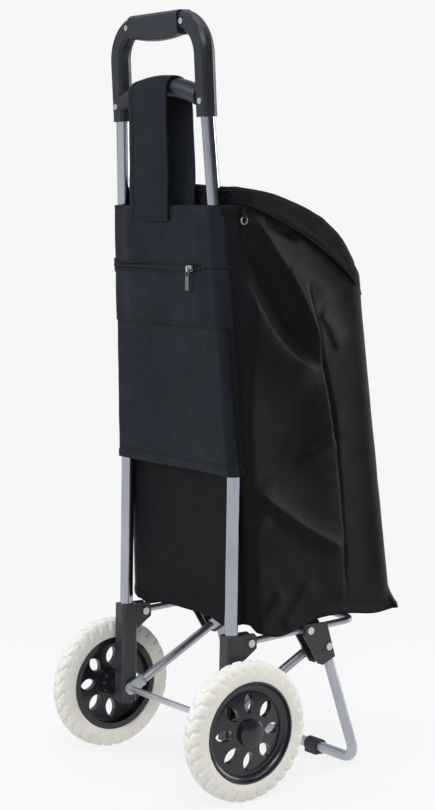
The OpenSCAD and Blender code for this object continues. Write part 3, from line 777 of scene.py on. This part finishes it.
def panel_grid(z0, z1, rows, lift=0.0, cut=None):
    """Both halves between two heights, with outward normals; cut keeps only that many columns of each."""
    grid, norm = [], []
    for z in np.linspace(z0, z1, rows):
        h = panel_half(z, lift)
        if cut is not None:
            h = h[:cut]
        full = np.concatenate([h[1:][::-1] * [-1, 1, -1, 1], h])
        grid.append(np.column_stack([full[:, :2], np.full(len(full), z)]))
        norm.append(np.column_stack([full[:, 2:], np.zeros(len(full))]))
    return np.array(grid), np.array(norm)


grid, norm = panel_grid(PANEL_Z0, PANEL_Z1, 110)


def panel_relief(p):
    """Soft waves of the panel's cloth, flatter over the tubes."""
    x, z = p[..., 0], p[..., 2]
    out = 1.0 * noise3(p * [1, 1, 0.6], 60, 31) + 0.5 * noise3(p, 26, 32) + 0.25 * noise3(p, 12, 33)
    out += 0.8 * dip(z, 430 + 12 * np.sin(x / 45), 16)
    return out * (0.35 + 0.65 * smooth01((100 - np.abs(x)) / 18))


rel = panel_relief(grid)
LOW_HEM, HIGH_HEM, HEM_STEP = 10, 12, 0.8
up_low, down_high = grid[..., 2] - PANEL_Z0, PANEL_Z1 - grid[..., 2]
rel += HEM_STEP * (smooth01((LOW_HEM - up_low) / 1.3) + smooth01((HIGH_HEM - down_high) / 1.3))
rel -= HEM_STEP * (dip(up_low, LOW_HEM + 0.8, 0.9) + dip(down_high, HIGH_HEM + 0.8, 0.9))
columns = grid.shape[1]
k_from_edge = np.minimum(np.arange(columns), columns - 1 - np.arange(columns))
SEAM_COLUMN, FOLD_COLUMN = 3.2, 10.0
rel += (1.0 * dip(k_from_edge, SEAM_COLUMN, 0.9) + 1.1 * dip(k_from_edge, FOLD_COLUMN, 1.0))[None, :]
grid = grid + norm * rel[..., None]
wave = np.sin(grid[..., 0] / 31.0) * 0.7 + 0.5 * noise3(grid, 40, 35)
grid[..., 2] += wave * smooth01((PANEL_Z0 + 25 - grid[..., 2]) / 25)
flip_panel = (grid_normals(grid) * norm).sum() < 0
panel_obj = sheet_mesh("back_panel", grid, 1.3, CLOTH_PANEL, flip=flip_panel)
# The gusset, on both faces of the sheet, is of the bag's darker cloth
panel_obj.data.materials.append(CLOTH)
for poly in panel_obj.data.polygons[: 2 * (len(grid) - 1) * (columns - 1)]:
    column = poly.index % (columns - 1)
    if min(column, columns - 2 - column) < GUSSET_COLUMNS:
        poly.material_index = 1
cloth_piece(panel_obj, "frame", "rear_panel")

# ---------------------------------------------------------------- rings at the mouth
RING_WIRE = 1.0


def tube_ring(centre, big, small, steps=40, sides=12):
    """A wire ring that lies flat against the bag's side."""
    a = np.linspace(0, 2 * math.pi, steps, endpoint=False)[:, None]
    b = np.linspace(0, 2 * math.pi, sides, endpoint=False)[None, :]
    reach = big + small * np.cos(b)
    p = np.stack([small * np.sin(b) + 0 * a, reach * np.cos(a), reach * np.sin(a)], -1)
    return (p + centre).reshape(-1, 3), grid_faces(steps, sides, close_u=True, close_v=True)


ring_lo, ring_hi = box_mm("mouth_rings")
ring_r = (ring_hi[2] - ring_lo[2]) / 2 - RING_WIRE
ring_y, ring_z = (ring_lo[1] + ring_hi[1]) / 2, (ring_lo[2] + ring_hi[2]) / 2
ring_verts, ring_faces, tabs = [], [], []
for side in (-1, 1):
    wire_x = side * (ring_hi[0] - RING_WIRE)
    v, f = tube_ring([wire_x, ring_y, ring_z], ring_r, RING_WIRE)
    ring_faces += (f + sum(len(q) for q in ring_verts)).tolist()
    ring_verts.append(v)
    rows = []
    for z in np.linspace(ring_z + 1.5, ring_z + 13.0, 14):
        grip = 1 - smooth01((z - ring_z - ring_r - 1.5) / 4)
        out = side * (ring_hi[0] - 2 * RING_WIRE - 0.4 + (2 * RING_WIRE + 1.2) * grip)
        rows.append([(out, ring_y + w, z) for w in np.linspace(-2.6, 2.6, 8)])
    tabs.append(np.array(rows))
rings = add_mesh("ring_pair", np.concatenate(ring_verts), ring_faces, NICKEL)
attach(rings, "frame")
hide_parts("mouth_rings")
fold_up(rings)
for side, rows in zip(("left", "right"), tabs):
    tab = sheet_mesh("ring_tab_" + side, rows, 0.9, CLOTH, flip=(side == "left"))
    cloth_piece(tab, "frame", squash=True)

# ---------------------------------------------------------------- pocket and zip
zip_lo, zip_hi = box_mm("pocket_zip")
zip_x0, zip_x1 = zip_lo[0], zip_hi[0]
ZIP_Z = float((zip_lo[2] + zip_hi[2]) / 2)
ZIP_GAP = 3.4
POCKET_Z0, POCKET_Z1 = 546.5, 685.5
POCKET_CUT = BACK_COLUMNS + WRAP_COLUMNS + 12
TOOTH_PITCH = 0.95


def pocket_piece(name, z0, z1, rows, replaced, zip_side):
    """One cloth layer of the pocket; the edge on the zip's side closes up beyond the zip's ends."""
    g, n = panel_grid(z0, z1, rows, 0.7, POCKET_CUT)
    t = np.linspace(0, 1, rows)[:, None]
    beyond = 1 - smooth01((zip_x1 + 6 - g[..., 0]) / 5) * smooth01((g[..., 0] - zip_x0 + 6) / 5)
    g[..., 2] += (ZIP_GAP - 0.3) * beyond * (t if zip_side > 0 else t - 1)
    cols = g.shape[1]
    edge = np.minimum(np.arange(cols), cols - 1 - np.arange(cols))[None, :]
    puff = smooth01(edge / 16)
    tube_side = smooth01((np.abs(g[..., 0]) - 66) / 26)
    r = panel_relief(g) + 2.0 * puff * np.sin(math.pi * t) ** 0.7 + 0.5 * noise3(g, 22, 41) * puff
    r = r * (1 - 0.6 * tube_side) + 1.2 * (1 - tube_side) - 2.2 * (1 - smooth01(edge / 5))
    g = g + n * r[..., None]
    ob = sheet_mesh(name, g, 1.1, CLOTH_PANEL, flip=(grid_normals(g) * n).sum() < 0)
    cloth_piece(ob, "frame", *replaced)
    return g, n


low_grid, low_norm = pocket_piece("pocket_front", POCKET_Z0, ZIP_Z - ZIP_GAP, 30, ["rear_pocket"], 1)
up_grid, up_norm = pocket_piece("pocket_yoke", ZIP_Z + ZIP_GAP, POCKET_Z1, 34, [], -1)


def zip_sag(x):
    """Share of the sag between the uprights at one x: 1 in the middle, 0 at the tubes."""
    return math.cos(math.pi / 2 * min(1, abs(x) / 104)) ** 1.5


tape_rows = []
for z in np.linspace(ZIP_Z - 8.5, ZIP_Z + 8.5, 14):
    y_tape = tube_at(z)[1] - WRAP_R - 0.55 - 0.5 * dip(z, ZIP_Z, 2.0)
    xs = np.linspace(zip_x0 - 6, zip_x1 + 6, 60)
    tape_rows.append([(x, y_tape + 1.32 * zip_sag(x), z) for x in xs])
tape = np.array(tape_rows)
tape_obj = sheet_mesh("zip_tape", tape, 0.7, WEBBING, flip=(grid_normals(tape)[..., 1].sum() > 0))
cloth_piece(tape_obj, "frame", "pocket_zip")


def box_verts(c, s, taper=0.75):
    """Corners of a block of size s about c, narrower towards -Y."""
    v = []
    for dy, k in ((0.5, 1.0), (-0.5, taper)):
        for dx, dz in ((-1, -1), (1, -1), (1, 1), (-1, 1)):
            v.append((c[0] + dx * s[0] / 2 * k, c[1] + dy * s[1], c[2] + dz * s[2] / 2 * k))
    return v


BOX_FACES = [(0, 1, 2, 3), (7, 6, 5, 4), (0, 4, 5, 1), (1, 5, 6, 2), (2, 6, 7, 3), (3, 7, 4, 0)]
tv, tf = [], []
for k, x in enumerate(np.arange(zip_x0 + 0.6, zip_x1 - 0.4, TOOTH_PITCH)):
    dz = 0.85 if k % 2 else -0.85
    y = tube_at(ZIP_Z)[1] - WRAP_R - 1.45 + 1.32 * zip_sag(x)
    b = len(tv)
    tv += box_verts((x, y, ZIP_Z + dz), (0.72, 0.9, 2.5))
    tf += [[b + q for q in f] for f in BOX_FACES]
teeth = add_mesh("zip_teeth", np.array(tv), tf, SLOT_MATERIALS["black_plastic"], smooth=False)
cloth_piece(teeth, "frame")

# ---------------------------------------------------------------- carry strap
# The bar is an arc of radius BAR_ARC, its top BAR_L up the uprights from their bend
BAR_R, BAR_ARC, BAR_L = 11.5, 210.0, 449.3
BAR_Y, BAR_Z = -BAR_L * math.sin(LEAN_ANGLE), BEND + BAR_L * math.cos(LEAN_ANGLE)
STRAP_T, STRAP_HALF = 2.0, 39.3
LIFT_Z = 690.0
FRONT_END = (-14.2, 681.0)
RUN_STEPS, TURN_STEPS = 26, 16
sewn_y = tube_at(672)[1] - WRAP_R - 3.3
strap_r = BAR_R + 1.9
# Side view, as [y, z]: up from the sewn end, over the bar, down to the end inside the bag
path = [(sewn_y + 1.2, 668.0), (sewn_y, 676.0), (sewn_y - 0.6, LIFT_Z)]
for t in np.linspace(0.1, 1.0, RUN_STEPS):
    path.append((sewn_y - 0.6 + t * (BAR_Y - strap_r - sewn_y + 0.6), LIFT_Z + t * (BAR_Z - LIFT_Z)))
for a in np.radians(np.linspace(180, 0, TURN_STEPS + 1)[1:]):
    path.append((BAR_Y + strap_r * math.cos(a), BAR_Z + strap_r * math.sin(a)))
for t in np.linspace(0.04, 1.0, RUN_STEPS):
    y_front = BAR_Y + strap_r + t * (FRONT_END[0] - BAR_Y - strap_r)
    path.append((y_front, BAR_Z - t * (BAR_Z - FRONT_END[1])))
path = np.array(path)
s = lengths(path)
s_end, s_top = s[-1], s[3 + RUN_STEPS + TURN_STEPS // 2]
u_all = np.linspace(0, s_end, 180)
py, pz = np.interp(u_all, s, path[:, 0]), np.interp(u_all, s, path[:, 1])


def strap_row(u, y, z):
    """The strap across its width, u along it: it drifts sideways, follows the arched bar and bellies."""
    front_share = np.clip((u - s_top) / (s_end - s_top), 0, 1)
    middle = -22 + 13.5 * np.clip(u / s_top, 0, 1) + 4.5 * front_share
    middle += 13.0 * smooth01((u - s_top + 12) / 60)
    near_top = dip(z, BAR_Z + 8, 42)
    sag = 1.6 * smooth01((z - LIFT_Z) / 30) * smooth01((BAR_Z - z) / 30) * (-1 if u < s_top else 1)
    swing = 1.2 * smooth01((z - LIFT_Z) / 40) * smooth01((BAR_Z - 10 - z) / 40)
    row = []
    for w in np.linspace(-1, 1, 34):
        x = middle + w * STRAP_HALF
        drop = BAR_ARC - math.sqrt(BAR_ARC**2 - x**2)
        y_cloth = y + sag * (1 - w * w) + swing * math.sin((z - LIFT_Z) / 38.0 + w)
        row.append((x, y_cloth, z - drop * near_top))
    return row


strap = [strap_row(u, y, z) for u, y, z in zip(u_all, py, pz)]
strap = np.array(strap)
strap_n = grid_normals(strap)
if strap_n[40, 17, 1] > 0:
    strap_n = -strap_n
cols = strap.shape[1]
edge = np.minimum(np.arange(cols), cols - 1 - np.arange(cols))[None, :] * (2 * STRAP_HALF / (cols - 1))
bind = 0.55 * smooth01((7.5 - edge) / 1.5) - 0.35 * dip(edge, 9.0, 1.3)
bind = bind + 0.35 * noise3(strap, 24, 51) + 0.18 * noise3(strap, 9, 52)
strap = strap + strap_n * bind[..., None]
flip_strap = (grid_normals(strap) * strap_n).sum() < 0
strap_obj = sheet_mesh("shoulder_strap", strap, STRAP_T, WEBBING, flip=flip_strap)
cloth_piece(strap_obj, "frame", "carry_strap")

# ---------------------------------------------------------------- tyres
LUGS, GROOVE = 30, 1.9
RIM_R = 59.45
SHOULDER = 15.0
TURNS = 420


def tyre_mesh(name, node, sign):
    """A foam tyre with shallow wavy grooves across its tread."""
    lo, hi = box_mm(node)
    cy, cz, cx = (lo[1] + hi[1]) / 2, (lo[2] + hi[2]) / 2, (lo[0] + hi[0]) / 2
    R, half = (hi[2] - lo[2]) / 2, (hi[0] - lo[0]) / 2
    prof = [(RIM_R, -half + 1.6), (RIM_R + 0.5, -half + 0.5), (RIM_R + 1.8, -half)]
    mid_r = R - SHOULDER
    prof += [(r, -half) for r in np.linspace(RIM_R + 4, mid_r, 5)]
    for a in np.radians(np.linspace(0, 180, 46)):
        ca, sa = math.cos(a), math.sin(a)
        w = -half * math.copysign(abs(ca) ** 0.62, ca)
        prof.append((mid_r + (R - mid_r) * sa**0.80, w))
    prof += [(r, half) for r in np.linspace(mid_r, RIM_R + 4, 5)]
    prof += [(RIM_R + 1.8, half), (RIM_R + 0.5, half - 0.5), (RIM_R, half - 1.6)]
    prof += [(RIM_R, half * 0.3), (RIM_R, -half * 0.3)]
    prof = np.array(prof)
    m = len(prof)
    d = np.roll(prof, -1, 0) - np.roll(prof, 1, 0)
    n = np.stack([d[:, 1], -d[:, 0]], 1)
    n /= np.maximum(np.linalg.norm(n, axis=1, keepdims=True), 1e-9)
    if n[m // 2 - 4, 0] < 0:
        n = -n
    th = np.arange(TURNS) / TURNS * 2 * math.pi
    r, w = prof[:, 0], prof[:, 1]
    tread = smooth01((r - (R - 13.0)) / 5.0)
    bend = 0.30 * np.cos(w / half * math.pi) + 0.08 * np.sin(w / half * math.pi * 3)
    phase = th[:, None] * LUGS / (2 * math.pi) + bend[None, :]
    f = np.abs((phase % 1.0) - 0.5) * 2
    groove = smooth01((f - 0.52) / 0.46)
    depth = GROOVE * tread[None, :] * groove
    rib = 0.35 * dip(r, RIM_R + 6.5, 0.8)[None, :] * np.ones((TURNS, 1))
    p2 = prof[None] + n[None] * (-depth + rib)[..., None]
    rr, ww = p2[..., 0], p2[..., 1]
    p = np.stack([cx + sign * ww, cy + rr * np.sin(th)[:, None], cz + rr * np.cos(th)[:, None]], -1)
    p += 0.072 * noise3(p, 7, 61)[..., None]
    faces = grid_faces(TURNS, m, close_u=True, close_v=True)
    ob = add_mesh(name, p.reshape(-1, 3), faces, TYRE)
    me = ob.data
    c = np.array([cx, cy + R - 0.5, cz])
    poly = min(me.polygons, key=lambda q: (Vector(metres(c)) - q.center).length)
    if poly.normal.y < 0:
        me.flip_normals()
    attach(ob, node.replace("tyre", "wheel"))
    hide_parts(node)


tyre_mesh("tyre_left", "left_tyre", -1)
tyre_mesh("tyre_right", "right_tyre", 1)

# ---------------------------------------------------------------- stitching
def stitch_row(name, p, n, lift, **options):
    """Stitches along one row or column of a cloth grid, lift above its face."""
    stitches(name, p + n * lift, n, **options)


row = int(round((LOW_HEM + 0.8) / (PANEL_Z1 - PANEL_Z0) * (len(grid) - 1)))
stitch_row("panel_stitch_hem", grid[row, 20:-20], norm[row, 20:-20], 0.3)
rows_down = int(round(11.0 / (POCKET_Z1 - ZIP_Z - ZIP_GAP) * (len(up_grid) - 1)))
row = len(up_grid) - 1 - rows_down
stitch_row("panel_stitch_top", up_grid[row, 18:-18], up_norm[row, 18:-18], 0.3)
stitch_row("pocket_stitch", low_grid[1, 4:-4], low_norm[1, 4:-4], 0.3)
for tag, g, n, k in (("low", low_grid, low_norm, -2), ("high", up_grid, up_norm, 1)):
    by_zip = np.abs(g[k, :, 0] - (zip_x0 + zip_x1) / 2) < (zip_x1 - zip_x0) / 2 + 4
    stitch_row("zip_stitch_" + tag, g[k][by_zip], n[k][by_zip], 0.5, pitch=3.2, length=2.2, radius=0.3)
WEB_STITCH = {"pitch": 3.6, "length": 2.5}
for tag, k in (("left", 3), ("right", -4)):
    stitch_row("strap_stitch_" + tag, strap[2:-2, k], strap_n[2:-2, k], 0.15, radius=0.32, **WEB_STITCH)
for tag, k in (("low", 2), ("high", 9)):
    stitch_row("strap_end_" + tag, strap[k, 3:-3], strap_n[k, 3:-3], 0.15, radius=0.34, **WEB_STITCH)
for tag, k in (("left", -7), ("right", 6)):
    stitch_row("flap_stitch_" + tag, flap[2:-2, k], flap_n[2:-2, k], 0.2, body="flap")
stitch_row("flap_stitch_lip", flap[-8, 8:-8], flap_n[-8, 8:-8], 0.2, body="flap")

# ---------------------------------------------------------------- stage and light
FLOOR_ALBEDO = 0.85
BACKDROP = (0.925, 0.925, 0.93, 1)
FLOOR_Z = -0.0005


def stage_floor():
    """A pale disc that takes the object's shadow near it and melts into the backdrop further out."""
    rings = [0.3, 0.6, 1.0, 1.6, 2.5, 4.0, 7.0, 12.0, 25.0]
    verts, n = [(0, 0, FLOOR_Z)], 64
    turn = 2 * math.pi / n
    for r in rings:
        verts += [(r * math.cos(turn * k), r * math.sin(turn * k), FLOOR_Z) for k in range(n)]
    faces = [(0, 1 + k, 1 + (k + 1) % n) for k in range(n)]
    for j in range(len(rings) - 1):
        a, b = 1 + j * n, 1 + (j + 1) * n
        faces += [(a + k, b + k, b + (k + 1) % n, a + (k + 1) % n) for k in range(n)]
    me = bpy.data.meshes.new("floor")
    me.from_pydata(verts, [], faces)
    ob = bpy.data.objects.new("floor", me)
    bpy.context.scene.collection.objects.link(ob)
    m = bpy.data.materials.new("floor")
    m.use_nodes = True
    nt = m.node_tree
    nt.nodes.clear()
    out = nt.nodes.new("ShaderNodeOutputMaterial")
    mix = nt.nodes.new("ShaderNodeMixShader")
    em = nt.nodes.new("ShaderNodeEmission")
    em.inputs["Color"].default_value = BACKDROP
    di = nt.nodes.new("ShaderNodeBsdfDiffuse")
    di.inputs["Color"].default_value = (FLOOR_ALBEDO, FLOOR_ALBEDO, FLOOR_ALBEDO, 1)
    geo = nt.nodes.new("ShaderNodeTexCoord")
    length = nt.nodes.new("ShaderNodeVectorMath")
    length.operation = "LENGTH"
    ranged = nt.nodes.new("ShaderNodeMapRange")
    ranged.inputs["From Min"].default_value = 0.35
    ranged.inputs["From Max"].default_value = 1.1
    ranged.inputs["To Min"].default_value = 0.86
    ranged.inputs["To Max"].default_value = 1.0
    nt.links.new(geo.outputs["Object"], length.inputs[0])
    nt.links.new(length.outputs["Value"], ranged.inputs["Value"])
    nt.links.new(ranged.outputs["Result"], mix.inputs["Fac"])
    nt.links.new(di.outputs[0], mix.inputs[1])
    nt.links.new(em.outputs[0], mix.inputs[2])
    nt.links.new(mix.outputs[0], out.inputs["Surface"])
    me.materials.append(m)


stage_floor()

world = bpy.data.worlds.new("studio")
bpy.context.scene.world = world
world.use_nodes = True
wt = world.node_tree
wt.nodes.clear()


def wnode(kind, **kw):
    """A node of the world, with its settings."""
    n = wt.nodes.new(kind)
    for k, v in kw.items():
        setattr(n, k, v)
    return n


# The camera sees the plain backdrop; the light is dimmest from the object's right and a little stronger above
DIM_SIDE = (0.95, 0.30, -0.05)
w_out = wnode("ShaderNodeOutputWorld")
w_coord = wnode("ShaderNodeTexCoord")
w_dot = wnode("ShaderNodeVectorMath", operation="DOT_PRODUCT")
w_dot.inputs[1].default_value = DIM_SIDE
w_map = wnode("ShaderNodeMapRange", interpolation_type="SMOOTHSTEP")
for k, v in {"From Min": 0.25, "From Max": 0.85, "To Min": 0.62, "To Max": 0.06}.items():
    w_map.inputs[k].default_value = v
w_sep = wnode("ShaderNodeSeparateXYZ")
w_top = wnode("ShaderNodeMapRange", interpolation_type="SMOOTHSTEP")
for k, v in {"From Min": 0.35, "From Max": 0.9, "To Min": 0.0, "To Max": 0.2}.items():
    w_top.inputs[k].default_value = v
w_add = wnode("ShaderNodeMath", operation="ADD")
w_light = wnode("ShaderNodeBackground")
w_light.inputs["Color"].default_value = (0.90, 0.94, 1.04, 1)
w_seen = wnode("ShaderNodeBackground")
w_seen.inputs["Color"].default_value = BACKDROP
w_path = wnode("ShaderNodeLightPath")
w_mix = wnode("ShaderNodeMixShader")
wt.links.new(w_coord.outputs["Generated"], w_dot.inputs[0])
wt.links.new(w_dot.outputs["Value"], w_map.inputs["Value"])
wt.links.new(w_coord.outputs["Generated"], w_sep.inputs[0])
wt.links.new(w_sep.outputs["Z"], w_top.inputs["Value"])
wt.links.new(w_map.outputs["Result"], w_add.inputs[0])
wt.links.new(w_top.outputs["Result"], w_add.inputs[1])
wt.links.new(w_add.outputs[0], w_light.inputs["Strength"])
wt.links.new(w_path.outputs["Is Camera Ray"], w_mix.inputs["Fac"])
wt.links.new(w_light.outputs[0], w_mix.inputs[1])
wt.links.new(w_seen.outputs[0], w_mix.inputs[2])
wt.links.new(w_mix.outputs[0], w_out.inputs["Surface"])


def area_light(name, where, aim, size, power, color=(1, 1, 1)):
    """A soft light at where, turned to aim; it isn't seen by the camera."""
    d = bpy.data.lights.new(name, "AREA")
    d.shape = "RECTANGLE"
    d.size, d.size_y = size
    d.energy = power
    d.color = color
    ob = bpy.data.objects.new(name, d)
    bpy.context.scene.collection.objects.link(ob)
    ob.location = Vector(where)
    ob.rotation_mode = "QUATERNION"
    ob.rotation_quaternion = (Vector(aim) - Vector(where)).to_track_quat("-Z", "Y")
    ob.visible_camera = False


WARM = (1.0, 0.99, 0.97)
area_light("key_left", (-1.0, -2.1, 2.0), (0, 0, 0.7), (1.4, 1.4), 34, (0.82, 0.90, 1.0))
area_light("front_right", (0.8, 3.0, 1.1), (0, 0, 0.4), (1.2, 2.0), 50, WARM)
area_light("fill", (1.9, -1.3, 2.5), (0, 0, 0.3), (1.8, 1.0), 46, WARM)
area_light("top", (0.4, 0.2, 2.9), (0, 0, 0.4), (1.6, 1.6), 20)
